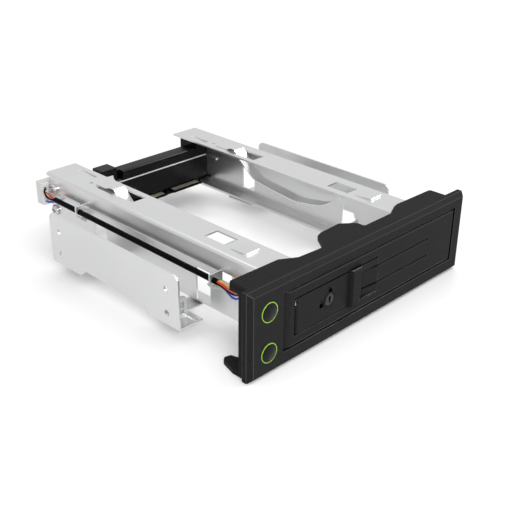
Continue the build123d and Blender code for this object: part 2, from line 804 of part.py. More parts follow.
def rail_profile():
    """Corner points and bend radii of the folded rail seen from the front, right side."""
    web_inner = web_outer - sheet
    ledge_under = ledge_top - sheet
    flange_under = flange_top - sheet
    points = [
        (lip_inner, lip_bottom), (lip_inner + sheet, lip_bottom), (lip_inner + sheet, ledge_under),
        (web_outer, ledge_under), (web_outer, flange_top), (flange_inner, flange_top),
        (flange_inner, flange_under), (web_inner, flange_under), (web_inner, ledge_top),
        (lip_inner, ledge_top),
    ]
    return points, {3: bend_outer, 4: bend_outer, 7: bend_inner, 8: bend_inner, 9: bend_inner}


def rail_body(side, front_window_y, front_window_z):
    """One folded rail with the slots and windows both sides share."""
    points, bends = rail_profile()
    with BuildPart() as rail:
        with BuildSketch(at_y(rail_rear)) as section:
            with BuildLine():
                Polyline(*[(side * x, z) for x, z in points], close=True)
            make_face()
            for index, radius in bends.items():
                x, z = points[index]
                corner = section.vertices().sort_by_distance((side * x, z, 0))[0]
                fillet(corner, radius)
        extrude(amount=rail_rear - rail_front)
        web_band = span(web_outer - 2 * sheet, web_outer + 2 * sheet, side)
        block(span(flange_inner - 2, web_outer + 2, side), (web_rear, rail_rear + 1),
              (lip_bottom - 1, flange_top - sheet - bend_inner), mode=Mode.SUBTRACT)
        block(web_band, front_window_y, front_window_z, mode=Mode.SUBTRACT)
        block(web_band, rear_window_y, window_z, mode=Mode.SUBTRACT)
        through = (flange_top - 2 * sheet, flange_top + sheet)
        louver_hole_x = (louver_x[0] - louver_gap, louver_x[1] + louver_gap)
        for x, y in ((slot_x, spring_slot_y), (front_hole_x, front_hole_y), (louver_hole_x, louver_y),
                     (far_slot_x, far_slot_y)):
            block(span(x[0], x[1], side), y, through, mode=Mode.SUBTRACT)
        for z in (snap_upper_z, snap_lower_z):
            block(web_band, snap_y, z, mode=Mode.SUBTRACT)
        for z in side_screw_z:
            rod_x(side_screw_y, z, side_screw_hole, web_band, mode=Mode.SUBTRACT)
        # louver over the front end of the leaf spring, sheared on three sides
        louver_side = side * louver_x[0] if side > 0 else side * louver_x[1]
        root = louver_y[1] + louver_root
        with BuildSketch(Plane.YZ.offset(louver_side)):
            with BuildLine():
                Polyline((root, flange_top - sheet), (root, flange_top),
                         (louver_y[0], flange_top + louver_rise),
                         (louver_y[0], flange_top + louver_rise - sheet), close=True)
            make_face()
        extrude(amount=louver_x[1] - louver_x[0])
        # tab lanced downwards in the rear slot
        tab_side = side * far_slot_x[0] if side > 0 else side * far_slot_x[1]
        tab_front = far_slot_y[0] + far_tab_gap
        tab_root = far_slot_y[1] + far_tab_root
        with BuildSketch(Plane.YZ.offset(tab_side + louver_gap)):
            with BuildLine():
                Polyline((tab_root, flange_top - sheet), (tab_root, flange_top),
                         (tab_front, flange_top - far_tab_drop),
                         (tab_front, flange_top - far_tab_drop - sheet), close=True)
            make_face()
        extrude(amount=far_slot_x[1] - far_slot_x[0] - 2 * louver_gap)
        # stiffening bead along the outside of the web
        with BuildSketch(at_y(bead_rear)):
            with BuildLine():
                Polyline((side * (web_outer - sheet / 2), bead_z - bead_half),
                         (side * web_outer, bead_z - bead_half), (side * (web_outer + bead_rise), bead_z),
                         (side * web_outer, bead_z + bead_half),
                         (side * (web_outer - sheet / 2), bead_z + bead_half), close=True)
            make_face()
        extrude(amount=bead_rear - rail_front)
    return rail.part


def make_rail_right():
    body = rail_body(1, right_window_y, window_z)
    with BuildPart() as rail:
        add(body)
        # rib on the inside of the web, in front of the rear holder
        block((web_outer - sheet - rib_rise, web_outer - sheet / 2), rib_y, rib_z)
        rod_z(right_pilot[0], right_pilot[1], pilot_radius, (flange_top - 2, flange_top + 2),
              mode=Mode.SUBTRACT)
    save(rail.part, "rail_right")


def make_rail_left():
    """Left rail: the common body plus two cable hooks bent out of the web."""
    body = rail_body(-1, left_window_y, left_window_z)
    with BuildPart() as rail:
        add(body)
        web = (-web_outer - 2 * sheet, -web_outer + 2 * sheet)
        through = (flange_top - 2 * sheet, flange_top + sheet)
        block(web, (front_notch_y, front_hook_y[0]), front_notch_z, mode=Mode.SUBTRACT)
        block(web, (rear_hook_y[1], rear_notch_y), rear_notch_z, mode=Mode.SUBTRACT)
        rod_z(left_pilot[0], left_pilot[1], pilot_radius, through, mode=Mode.SUBTRACT)
        block((-guide_slot_x[1], -guide_slot_x[0]), guide_slot_y, through, mode=Mode.SUBTRACT)
        rod_z(-guide_hole[0], guide_hole[1], guide_hole_radius, through, mode=Mode.SUBTRACT)
        with BuildSketch(Plane.XY.offset(flange_top - sheet)):
            with BuildLine():
                Polyline(*[(-x, y) for x, y in earmark], close=True)
            make_face()
        extrude(amount=sheet)
        root_x = -web_outer + sheet / 2
        for y, cable_z in ((front_hook_y, cable_front_z), (rear_hook_y, cable_rear_z)):
            with BuildSketch(at_y(y[1])) as hook:
                with BuildLine():
                    Polyline((root_x, cable_z - hook_drop), (root_x, cable_z + hook_rise),
                             (hook_outer, cable_z + hook_rise),
                             (hook_outer, cable_z - hook_drop + hook_slope),
                             (hook_outer + hook_slope, cable_z - hook_drop), close=True)
                make_face()
                fillet(hook.vertices().group_by(Axis.X)[0], hook_round)
                with Locations((cable_x, cable_z)):
                    Circle(hook_bore, mode=Mode.SUBTRACT)
                with Locations((cable_x, cable_z - hook_bore - hook_entry_sink)):
                    Rectangle(hook_entry, hook_entry_height, mode=Mode.SUBTRACT)
            extrude(amount=y[1] - y[0])
            # tongue bent out of the web under the cable
            tip_z = cable_z - tongue_drop
            bends = [(-web_outer - out, tip_z + rise) for out, rise in tongue_section]
            with BuildSketch(at_y(y[1] + tongue_setback)):
                with BuildLine():
                    Polyline((root_x, tip_z), *bends, (root_x, tip_z + tongue_root_height), close=True)
                make_face()
            extrude(amount=tongue_length)
    save(rail.part, "rail_left")


def make_spring(name, side):
    """Bowed leaf spring: strip along Y that dips through the flange."""
    base = flange_top + leaf_sheet / 2 + leaf_gap
    points = [(y, base + z) for y, z in leaf_path]
    with BuildPart() as leaf:
        with BuildSketch(Plane.YZ.offset(side * leaf_x - leaf_width / 2)):
            with BuildLine():
                path = FilletPolyline(*points, radius=leaf_radii)
                offset(path, amount=leaf_sheet / 2, side=Side.BOTH, closed=True)
            make_face()
        extrude(amount=leaf_width)
    save(leaf.part, name)


def make_bracket(name, side):
    """Side bracket: drilled outer plate with folded foot, two strips and an upright tab."""
    inner = bracket_outer - sheet
    plane = Plane.YZ.offset(side * bracket_outer if side < 0 else inner)
    with BuildPart() as bracket:
        with BuildSketch(plane) as plate:
            with BuildLine():
                Polyline(*bracket_outline, close=True)
            make_face()
            fillet(plate.vertices().group_by(Axis.Y)[-1], bracket_corner)
        extrude(amount=sheet)
        edge = bracket_outer - strip_overlap
        for reach, y in ((strip_inner, front_strip_y), (strip_inner, rear_strip_y), (foot_inner, foot_y)):
            block(span(reach, edge, side), y, (strip_bottom, strip_top))
        bend = bracket.edges().filter_by(Axis.Y).filter_by(
            lambda e: near(abs(e.center().X), bracket_outer) and near(e.center().Z, strip_bottom))
        fillet(bend, foot_bend)
        for step in ridge_steps:
            block(span(foot_inner + step, foot_inner + step + ridge_width, side),
                  (foot_y[0] + ridge_front_gap, foot_y[1] - ridge_rear_gap),
                  (strip_top - strip_overlap, strip_top + ridge_rise))
        with BuildSketch(at_y(tab_y[1])) as tab:
            with BuildLine():
                Polyline((side * tab_x[0], strip_top - sheet / 2), (side * tab_x[0], tab_top),
                         (side * tab_x[1], tab_top), (side * tab_x[1], strip_top - sheet / 2), close=True)
            make_face()
            fillet(tab.vertices().group_by(Axis.Y)[-1], tab_round)
            for z in tab_window_z:
                with Locations((side * (tab_window[0] + tab_window[1]) / 2, (z[0] + z[1]) / 2)):
                    Rectangle(tab_window[1] - tab_window[0], z[1] - z[0], mode=Mode.SUBTRACT)
        extrude(amount=sheet)
        for y in bay_hole_y:
            for z in bay_hole_z:
                rod_x(y, z, bay_hole_radius, span(inner - 1, bracket_outer + 1, side), mode=Mode.SUBTRACT)
    save(bracket.part, name)


def make_rear_holder():
    """Moulded cross member between the rails that carries the back board."""
    wall_y = (cheek_y[0], cheek_y[0] + holder_wall)
    with BuildPart() as holder:
        for side in (-1, 1):
            block(span(cheek_inner, holder_side, side), cheek_y, (shelf_top - 2, riser_top - cheek_drop))
        block((-holder_side, holder_side), wall_y, (holder_bottom, back_wall_top))
        block((-holder_side, holder_side), (shelf_front + shelf_setback, wall_y[1]),
              (shelf_top - shelf_thickness, shelf_top))
        block((-cheek_inner, cheek_inner), face_wall_y, face_wall_z)
        block((-cheek_inner, cheek_inner), (face_wall_y[0], wall_y[1]),
              (face_wall_z[1] - roof_thickness, face_wall_z[1]))
        for x in (-cheek_inner, cheek_inner - holder_wall):
            block((x, x + holder_wall), (face_wall_y[0], wall_y[1]), face_wall_z)
        block((-cheek_inner, cheek_inner), wall_y, (back_wall_top - 1, face_wall_z[1]))
        with BuildSketch(Plane.YZ.offset(bar_x[0])):
            with BuildLine():
                Polyline((bar_y[0], bar_z[0]), (bar_y[0], bar_z[1] - bar_slope),
                         (bar_y[0] + bar_slope, bar_z[1]), (bar_y[1], bar_z[1]), (bar_y[1], bar_z[0]),
                         close=True)
            make_face()
        extrude(amount=bar_x[1] - bar_x[0])
        block(left_tab_x, left_tab_y, (bar_z[0], left_tab_top))
        block((left_tab_x[0], bar_x[0] + 1), (left_tab_y[0] + left_tab_neck, bar_y[1]), bar_z)
        block(left_tab_x, (wall_y[0], left_tab_y[1]), (face_wall_z[1] - 1, bar_z[1]))
        block(riser_x, riser_y, (bar_z[0], riser_top))
        block(riser_x, (tie_strip_y[1] + tie_strip_gap, riser_y[1]), (face_wall_z[1] - 1, riser_top))
        for x, z in board_posts:
            rod_y(x, z, board_post_radius, (wall_y[0], back_board_y[0]))
        block((socket_x[0] - socket_room, socket_x[1] + socket_room), (shelf_front, cheek_y[1] + 1),
              (socket_z[0] - 1, socket_z[1] + socket_room), mode=Mode.SUBTRACT)
        for x, z in board_posts:
            rod_y(x, z, small_shank_radius + fit_gap, (cheek_y[1] - board_screw_depth, cheek_y[1] + 1),
                  mode=Mode.SUBTRACT)
        for side in (-1, 1):
            for z in side_screw_z:
                rod_x(side_screw_y, z, screw_shank_radius + fit_gap,
                      span(web_outer - screw_length, holder_side + 1, side), mode=Mode.SUBTRACT)
    save(holder.part, "rear_holder")


def make_tie_strip():
    """Thin bright steel strip between the two beams of the rear holder."""
    with BuildPart() as strip:
        block(tie_strip_x, tie_strip_y, tie_strip_z)
    save(strip.part, "tie_strip")


def make_backplane_board():
    with BuildPart() as board:
        block(board_x, back_board_y, back_board_z)
        for x, z in board_posts:
            rod_y(x, z, board_hole, (back_board_y[0] - 1, back_board_y[1] + 1), mode=Mode.SUBTRACT)
    save(board.part, "backplane_board")


def make_sata_socket():
    """Combined data and power socket with its two contact blades."""
    with BuildPart() as socket:
        block(socket_x, (socket_front, back_board_y[0] - fit_gap), socket_z)
        for x in (data_blade_x, power_blade_x):
            block(x, (blade_front, socket_front + 1), blade_z)
        edges = socket.edges().filter_by(Axis.X).filter_by(lambda e: near(e.center().Y, blade_front))
        chamfer(edges, blade_chamfer)
        block((data_blade_x[1] + key_gap, power_blade_x[0] - key_gap),
              (socket_front - 1, socket_front + key_depth), (socket_z[0] + key_height, socket_z[1] + 1),
              mode=Mode.SUBTRACT)
    save(socket.part, "sata_socket")


def make_socket_contacts():
    """Twenty-two gold contacts on the two blades."""
    with BuildPart() as contacts:
        for blade, count in ((data_blade_x, data_contacts), (power_blade_x, power_contacts)):
            middle = (blade[0] + blade[1]) / 2
            for i in range(count):
                x = middle + (i - (count - 1) / 2) * contact_pitch
                block((x - contact_width / 2, x + contact_width / 2),
                      (blade_front + contact_setback, blade_front + contact_setback + contact_length),
                      (blade_z[1], blade_z[1] + contact_sheet))
    save(contacts.part, "socket_contacts")


def make_inlet(name, x):
    """Open-mouthed inlet on the rear of the back board with a contact tongue."""
    y = (back_board_y[1] + fit_gap, inlet_rear)
    with BuildPart() as inlet:
        block(x, y, inlet_z)
        chamfer(inlet.edges().filter_by(Axis.Y), inlet_chamfer)
        block((x[0] + inlet_wall, x[1] - inlet_wall), (inlet_rear - inlet_depth, inlet_rear + 1),
              (inlet_z[0] + inlet_wall, inlet_z[1] - inlet_wall), mode=Mode.SUBTRACT)
        tongue_bottom = inlet_z[0] + inlet_wall + inlet_tongue_rise
        block((x[0] + inlet_tongue_side, x[1] - inlet_tongue_side),
              (inlet_rear - inlet_depth - 1, inlet_rear - inlet_tongue_setback),
              (tongue_bottom, tongue_bottom + inlet_tongue_sheet))
    save(inlet.part, name)


def rear_wire_heights():
    """Wire heights at the rear wafer, top to bottom: black, red, yellow, blue."""
    bottom = wafer_z[0] + wafer_wire_margin
    return [bottom + wafer_wire_pitch * i for i in reversed(range(wafer_wire_count))]


def make_wire_wafer():
    """White four-way wafer at the rear left corner of the back board."""
    with BuildPart() as wafer:
        block(wafer_x, (wafer_y[0] + fit_gap, wafer_y[1]), wafer_z)
        chamfer(wafer.edges().filter_by(Axis.Z), wafer_chamfer)
        for z in rear_wire_heights():
            rod_y(wafer_wire_x, z, wire_radius + fit_gap,
                  (wafer_y[0] - 1, wafer_y[0] + wafer_socket_depth), mode=Mode.SUBTRACT)
    save(wafer.part, "wire_wafer")


def make_cable_sleeve():
    start = (cable_x, sleeve_front, cable_front_z)
    rise = cable_rear_z - cable_front_z
    length = sleeve_rear - sleeve_front
    plane = Plane(origin=start, x_dir=(1, 0, 0), z_dir=(0, length, rise))
    with BuildPart() as sleeve:
        with BuildSketch(plane):
            Circle(sleeve_radius)
            Circle(sleeve_bore, mode=Mode.SUBTRACT)
        extrude(amount=math.hypot(length, rise))
    save(sleeve.part, "cable_sleeve")


def make_wire(name, bundle, rear_z, rear_bends, front_z, front_bends):
    """One insulated wire from the wafer, through the sleeve, to the front plug."""
    bundle_x = cable_x + bundle[0]
    plug_middle = (plug_x[0] + plug_x[1]) / 2
    rear_points = [(cable_x + x, wafer_y[0] + y, cable_rear_z + z) for x, y, z in rear_bends]
    front_points = [(plug_middle + x, plug_rear + y, cable_front_z + z) for x, y, z in front_bends]
    points = [
        (wafer_wire_x, wafer_y[0] + wire_wafer_reach, rear_z),
        (wafer_wire_x, wafer_y[0] - wire_wafer_straight, rear_z),
        *rear_points,
        (bundle_x, sleeve_rear + bundle_rear_reach, cable_rear_z + bundle[1]),
        (bundle_x, sleeve_front - bundle_front_reach, cable_front_z + bundle[1]),
        *front_points,
        (plug_middle, plug_rear + wire_plug_straight, front_z),
        (plug_middle, plug_rear - wire_plug_reach, front_z),
    ]
    with BuildPart() as wire:
        with BuildLine() as route:
            FilletPolyline(*points, radius=[wire_bend] * (len(points) - 2))
        with BuildSketch(Plane(route.line @ 0, z_dir=route.line % 0)):
            RegularPolygon(wire_radius, wire_sides)
        sweep()
    save(wire.part, name)


def make_side_screws():
    """Four pan head screws through the rails into the rear holder."""
    head_end = web_outer + screw_head_height
    with BuildPart() as screws:
        for side in (-1, 1):
            for z in side_screw_z:
                head = span(web_outer + fit_gap, head_end, side)
                rod_x(side_screw_y, z, screw_head_radius, head)
                rod_x(side_screw_y, z, screw_shank_radius,
                      span(web_outer - screw_length + screw_overlap, web_outer + screw_overlap, side))
        rims = screws.edges().filter_by(GeomType.CIRCLE).filter_by(
            lambda e: near(abs(e.center().X), head_end))
        chamfer(rims, screw_chamfer)
        for side in (-1, 1):
            for z in side_screw_z:
                cut = span(head_end - recess_depth, head_end + 1, side)
                block(cut, (side_screw_y - recess_half, side_screw_y + recess_half),
                      (z - recess_width / 2, z + recess_width / 2), mode=Mode.SUBTRACT)
                block(cut, (side_screw_y - recess_width / 2, side_screw_y + recess_width / 2),
                      (z - recess_half, z + recess_half), mode=Mode.SUBTRACT)
    save(screws.part, "side_screws")


def small_screws(name, places, seat, shank_end):
    """Group of small screws facing the rear."""
    with BuildPart() as screws:
        for x, z in places:
            rod_y(x, z, small_head_radius, (seat + fit_gap, seat + small_head_height))
            rod_y(x, z, small_shank_radius - fit_gap, (shank_end, seat + screw_overlap))
        rims = screws.edges().filter_by(GeomType.CIRCLE).group_by(Axis.Y)[-1]
        chamfer(rims, small_chamfer)
        long = small_recess_half
        thin = small_recess_width / 2
        cut = (seat + small_head_height - small_recess_depth, seat + small_head_height + 1)
        for x, z in places:
            block((x - long, x + long), cut, (z - thin, z + thin), mode=Mode.SUBTRACT)
            block((x - thin, x + thin), cut, (z - long, z + long), mode=Mode.SUBTRACT)
    save(screws.part, name)


make_bezel_frame()
make_door_leaf()
make_door_hinge_pin()
make_latch_lever()
make_lever_pin()
make_lever_spring()
make_lock_housing()
make_lock_plug()
make_lock_cam()
make_light_ring("light_ring_upper", button_heights[0])
make_light_ring("light_ring_lower", button_heights[1])
make_button("button_upper", button_heights[0])
make_button("button_lower", button_heights[1])
make_switch_board()
make_button_switches()
make_front_plug()
make_rail_left()
make_rail_right()
make_spring("spring_left", -1)
make_spring("spring_right", 1)
make_bracket("bracket_left", -1)
make_bracket("bracket_right", 1)
make_rear_holder()
make_tie_strip()
make_backplane_board()
make_sata_socket()
make_socket_contacts()
make_inlet("data_inlet", data_inlet_x)
make_inlet("power_inlet", power_inlet_x)
make_wire_wafer()
make_cable_sleeve()
rear_z = rear_wire_heights()
front_z = front_wire_heights()
low = -bundle_offset
up = bundle_offset
make_wire("wire_black", (low, low), rear_z[0], wire_black_rear, front_z[2], wire_black_front)
make_wire("wire_red", (low, up), rear_z[1], wire_red_rear, front_z[1], wire_red_front)
make_wire("wire_yellow", (up, up), rear_z[2], wire_yellow_rear, front_z[0], wire_yellow_front)
make_wire("wire_blue", (up, low), rear_z[3], wire_blue_rear, front_z[3], wire_blue_front)
make_side_screws()
small_screws("board_screws", board_posts, back_board_y[1], cheek_y[1] - board_screw_reach)
switch_posts = [(x, boss_z) for x in boss_xs]
small_screws("switch_board_screws", switch_posts, board_front + board_thickness, switch_screw_end)
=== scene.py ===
import json
import math

import bmesh
import bpy
from mathutils import Matrix, Vector


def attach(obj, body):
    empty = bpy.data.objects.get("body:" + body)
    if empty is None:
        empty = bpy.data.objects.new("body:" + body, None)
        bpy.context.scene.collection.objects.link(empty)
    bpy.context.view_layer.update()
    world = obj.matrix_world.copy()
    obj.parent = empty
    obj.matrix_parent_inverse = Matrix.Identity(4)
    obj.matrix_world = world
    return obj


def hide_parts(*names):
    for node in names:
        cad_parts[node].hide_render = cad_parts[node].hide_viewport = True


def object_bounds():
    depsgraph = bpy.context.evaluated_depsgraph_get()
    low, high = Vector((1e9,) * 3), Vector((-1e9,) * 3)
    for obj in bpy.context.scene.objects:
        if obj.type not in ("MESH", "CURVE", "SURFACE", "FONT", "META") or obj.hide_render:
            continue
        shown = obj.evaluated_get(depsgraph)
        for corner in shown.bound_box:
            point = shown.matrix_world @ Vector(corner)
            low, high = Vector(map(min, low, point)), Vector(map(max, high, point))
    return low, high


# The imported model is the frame: X to the right seen from the front, Y to the rear, Z up.
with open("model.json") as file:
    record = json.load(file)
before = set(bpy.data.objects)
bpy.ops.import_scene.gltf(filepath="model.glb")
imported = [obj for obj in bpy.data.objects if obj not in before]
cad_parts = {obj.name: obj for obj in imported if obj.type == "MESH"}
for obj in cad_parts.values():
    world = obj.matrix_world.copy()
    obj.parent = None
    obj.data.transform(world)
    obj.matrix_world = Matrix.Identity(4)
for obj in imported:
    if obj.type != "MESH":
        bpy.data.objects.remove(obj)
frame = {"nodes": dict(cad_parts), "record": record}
cad_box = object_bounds()
MM = 0.001

# Camera, solved from the bezel and the bay screw holes: angles in degrees, lens and sensor in millimetres
CAMERA_TARGET = Vector((-24.23, 38.91, 23.47)) * MM
CAMERA_DISTANCE = 405.08 * MM
CAMERA_AZIMUTH = -45.85
CAMERA_ELEVATION = 26.98
CAMERA_ROLL = 0.64
CAMERA_LENS = 61.45
CAMERA_SENSOR = 36
CAMERA_NEAR = 10 * MM

# Studio, in metres: how much floor and world glow on the part, to the camera and in reflections
FLOOR_HALF = 3.0
FLOOR_DROP = 0.00005
FLOOR_GLOW = 1.12
FLOOR_SEEN = 0.8
FLOOR_MIRRORED = 0.4
# reach of the painted shade on the floor round the part's foot
PAINTED_CONTACT_SHADE_REACH = 0.03
WORLD_LIGHT = 0.4
WORLD_SEEN = 0.65
WORLD_MIRRORED = 0.38
# Lamps: place, aim, width and watts
LAMPS = {
    "over": ((0.1, 0.3, 1.1), (0, 0.08, 0), 1.1, 3.0),
    "edge": ((0.58, -0.32, 0.57), (0, 0.08, 0.02), 0.25, 3.8),
    "key": ((-0.22, -0.25, 0.22), (-0.05, 0, 0.02), 0.16, 0.98),
}

# Merging, shading and rounding of meshes: distances in millimetres
SOLID_MERGE = 0.002
SHAPE_MERGE = 0.0005
FLAT_ANGLE = math.radians(0.5)
OUTWARD_ANGLE = math.radians(28)
SMOOTH_ANGLE = math.radians(33)
CREASE_ANGLE = math.radians(35)
ROOM_PER_ROUNDING = 2.2

# Push caps, at the places of the solids, in millimetres
BUTTON_X = -63.35
BUTTON_HEIGHTS = {"button_upper": 30.1, "button_lower": 11.1}
CAP_RADIUS = 4.08
CAP_FRONT = -5.6
CAP_BULGE = 0.46
CAP_ROUNDING = 0.35
CAP_BULGE_STEPS = 8
CAP_ROUNDING_STEPS = 5
CAP_FLANGE_RADIUS = 4.65
CAP_FLANGE_FRONT = 0.88
CAP_FLANGE_REAR = 1.33
CAP_STEM_RADIUS = 1.4
CAP_STEM_REAR = 1.6

# The lead between the rear wafer and the front plug, at the places of the solids, in millimetres
CABLE_X = -56.5
SLEEVE_FRONT_Y, SLEEVE_FRONT_Z = 32.2, 26.6
SLEEVE_REAR_Y, SLEEVE_REAR_Z = 154.0, 27.7
SLEEVE_STRAIGHT = 4.0
SLEEVE_FRONT_REACH = 1.4
SLEEVE_REAR_REACH = 1.2
WAFER_X = -54.7
WAFER_FACE = 165.4
WAFER_TOP = 30.4
WAFER_PITCH = 2.5
WAFER_DEPTH = 2.0
PLUG_X = -63.1
PLUG_REAR = 9.4
PLUG_TOP = 35.15
PLUG_PITCH = 1.3
PLUG_DEPTH = 1.2
ENTRY_STRAIGHT = 1.6
WIRE_RADIUS = 0.46
BUNDLE = 0.49
# Wires: place in the sleeve, way down the wafer and the plug, and the bends behind and before the sleeve
WIRES = {
    "black": {"side": -BUNDLE, "rise": -BUNDLE, "wafer_way": 0, "plug_way": 2,
              "rear_bends": [(-58.2, 161.4, 31.2), (-59.0, 158.0, 28.4)],
              "front_bends": [(-61.2, 17.0, 27.5)]},
    "red": {"side": -BUNDLE, "rise": BUNDLE, "wafer_way": 1, "plug_way": 1,
            "rear_bends": [(-56.8, 158.8, 29.2)],
            "front_bends": [(-61.5, 17.0, 28.8)]},
    "yellow": {"side": BUNDLE, "rise": BUNDLE, "wafer_way": 2, "plug_way": 0,
               "rear_bends": [(-55.2, 157.8, 26.8)],
               "front_bends": [(-60.9, 17.0, 30.3)]},
    "blue": {"side": BUNDLE, "rise": -BUNDLE, "wafer_way": 3, "plug_way": 3,
             "rear_bends": [(-55.0, 157.6, 24.6)],
             "front_bends": [(-56.3, 29.0, 25.2), (-61.7, 17.0, 25.8)]},
}

# Padlock signs on the lever's face, in millimetres; heights count from the sign's own place
LEVER_FACE = -4.8
OPEN_SIGN = (-26.2, 26.2)
CLOSED_SIGN = (-31.8, 20.9)
SIGN_SINK = 0.02
SIGN_DEPTH = 0.09
PADLOCK_HALF = 1.05
PADLOCK_BOTTOM = -1.5
PADLOCK_TOP = 0.2
SHACKLE_HEIGHT = 0.75
SHACKLE_RADIUS = 0.72
SHACKLE_HALF = 0.16
SHACKLE_FOOT = 0.1
SHACKLE_OVERLAP = 0.01
SHACKLE_STEPS = 16
OPEN_SHIFT = 1.1


class Field:
    """A number that varies over a surface. Arithmetic on it adds Math nodes."""

    def __init__(self, network, socket):
        self.network = network
        self.socket = socket

    def joined(self, operation, first, second):
        node = self.network.add("ShaderNodeMath", {"operation": operation}, {0: first, 1: second})
        return Field(self.network, node.outputs[0])

    def __add__(self, other):
        return self.joined("ADD", self, other)

    def __radd__(self, other):
        return self.joined("ADD", other, self)

    def __mul__(self, other):
        return self.joined("MULTIPLY", self, other)

    def __rmul__(self, other):
        return self.joined("MULTIPLY", other, self)


class Network:
    """The emptied node tree of a material or world, filled through one method."""

    def __init__(self, owner):
        owner.use_nodes = True
        self.tree = owner.node_tree
        self.tree.nodes.clear()

    def add(self, kind, settings=None, sockets=None):
        """Adds a node: its settings first, then the value or link of each socket."""
        node = self.tree.nodes.new(kind)
        for key, value in (settings or {}).items():
            setattr(node, key, value)
        for key, value in (sockets or {}).items():
            self.feed(node.inputs[key], value)
        return node

    def feed(self, socket, value):
        """Gives a socket a constant, a field or another node's output."""
        if isinstance(value, Field):
            self.tree.links.new(value.socket, socket)
        elif isinstance(value, bpy.types.NodeSocket):
            self.tree.links.new(value, socket)
        else:
            socket.default_value = value

    def openness(self, reach):
        """How open a point lies, from 0 in a crease to 1, judged over the given reach in metres; it feeds
        painted shade.
        """
        node = self.add("ShaderNodeAmbientOcclusion", {"samples": 8}, {"Distance": reach})
        return Field(self, node.outputs["AO"])


class Finish(Network):
    """One surface finish: a shader and the nodes that feed it."""

    def __init__(self, name, colour, roughness, metallic=0.0, **constant):
        self.material = bpy.data.materials.new(name)
        super().__init__(self.material)
        sockets = {"Base Color": (*colour, 1.0), "Roughness": roughness, "Metallic": metallic}
        sockets.update({key.replace("_", " "): value for key, value in constant.items()})
        self.shader = self.add("ShaderNodeBsdfPrincipled", {}, sockets)
        self.add("ShaderNodeOutputMaterial", {}, {"Surface": self.shader.outputs[0]})

    def place(self, scale):
        """Object coordinates, stretched along the axes."""
        point = self.add("ShaderNodeTexCoord").outputs["Object"]
        return self.add("ShaderNodeMapping", {}, {"Vector": point, "Scale": scale}).outputs[0]

    def noise(self, per_metre, stretch=(1, 1, 1), detail=3.0):
        """Noise from 0 to 1."""
        node = self.add("ShaderNodeTexNoise", {}, {"Vector": self.place(stretch), "Scale": per_metre,
                                                   "Detail": detail})
        return Field(self, node.outputs[0])

    def grain(self, height, depth):
        """Fine relief in the surface."""
        bump = self.add("ShaderNodeBump", {}, {"Height": height, "Distance": depth, "Strength": 1.0})
        self.feed(self.shader.inputs["Normal"], bump.outputs[0])

    def vary(self, socket, value):
        self.feed(self.shader.inputs[socket], value)

    def tint(self, mask, first, second):
        """Colour that runs from first to second with the mask."""
        mix = self.add("ShaderNodeMix", {"data_type": "RGBA"}, {0: mask, 6: (*first, 1), 7: (*second, 1)})
        self.vary("Base Color", mix.outputs[2])


def spark_eroded_black_and_painted_crease_shade():
    """Fine leather-like texture of the moulded front, with painted shade that darkens its creases and
    gaps.
    """
    finish = Finish("spark_eroded_black_and_painted_crease_shade", (0.018, 0.018, 0.0183), 0.4, Specular_IOR_Level=0.03)
    speck = finish.noise(1500)
    cloud = finish.noise(45, detail=1.0)
    finish.grain(speck, 0.00022)
    finish.vary("Roughness", 0.30 + 0.18 * speck + 0.06 * cloud)
    # painted shade: ambient occlusion over 2.4 mm darkens the colour in creases and narrow gaps, such as
    # round the door; the grain speck adds real tone
    crease = finish.openness(0.0024)
    finish.tint((0.2 + 0.6 * speck) * crease * crease, (0.003, 0.003, 0.0031), (0.028, 0.028, 0.0285))
    return finish.material


def polished_edge_black():
    """Edges of the moulded front, where the texture ends and the plastic is smooth."""
    finish = Finish("polished_edge_black", (0.018, 0.018, 0.0183), 0.2, Specular_IOR_Level=0.4)
    cloud = finish.noise(300, detail=1.0)
    finish.vary("Roughness", 0.14 + 0.08 * cloud)
    return finish.material


def piano_black():
    """Glossy moulding of the rear cross member."""
    finish = Finish("piano_black", (0.003, 0.003, 0.0032), 0.2, Specular_IOR_Level=0.1)
    wave = finish.noise(60, detail=1.0)
    finish.vary("Roughness", 0.14 + 0.12 * wave)
    return finish.material


def plated_sheet():
    """Zinc plated sheet with a faint rolled grain along its length."""
    finish = Finish("plated_sheet", (0.75, 0.753, 0.757), 0.3, 0.86)
    cloud = finish.noise(18, detail=2.0)
    streak = finish.noise(900, (1, 0.03, 1), detail=2.0)
    finish.vary("Roughness", 0.24 + 0.08 * cloud + 0.06 * streak)
    finish.tint(cloud, (0.72, 0.723, 0.727), (0.78, 0.782, 0.786))
    finish.grain(streak, 0.000004)
    return finish.material


def bright_spring_steel():
    finish = Finish("bright_spring_steel", (0.8, 0.8, 0.803), 0.2, 0.95)
    streak = finish.noise(700, (1, 0.04, 1), detail=1.0)
    finish.vary("Roughness", 0.2 + 0.06 * streak)
    return finish.material


def plated_screw():
    finish = Finish("plated_screw", (0.66, 0.66, 0.67), 0.24, 0.95)
    cloud = finish.noise(800, detail=1.0)
    finish.vary("Roughness", 0.18 + 0.14 * cloud)
    return finish.material


def dark_lock_metal():
    """Blackened steel of the lock with a soft gloss."""
    finish = Finish("dark_lock_metal", (0.012, 0.012, 0.0125), 0.2, 0.3, Specular_IOR_Level=0.35)
    cloud = finish.noise(700, detail=1.0)
    finish.vary("Roughness", 0.12 + 0.12 * cloud)
    finish.tint(cloud, (0.006, 0.006, 0.0063), (0.03, 0.03, 0.0306))
    return finish.material


def worn_edge_metal():
    """Rubbed bright edges round the key slot and the collar."""
    finish = Finish("worn_edge_metal", (0.4, 0.4, 0.405), 0.25, 0.9)
    cloud = finish.noise(500, detail=1.0)
    finish.vary("Roughness", 0.18 + 0.12 * cloud)
    finish.tint(cloud, (0.12, 0.12, 0.122), (0.6, 0.6, 0.605))
    return finish.material


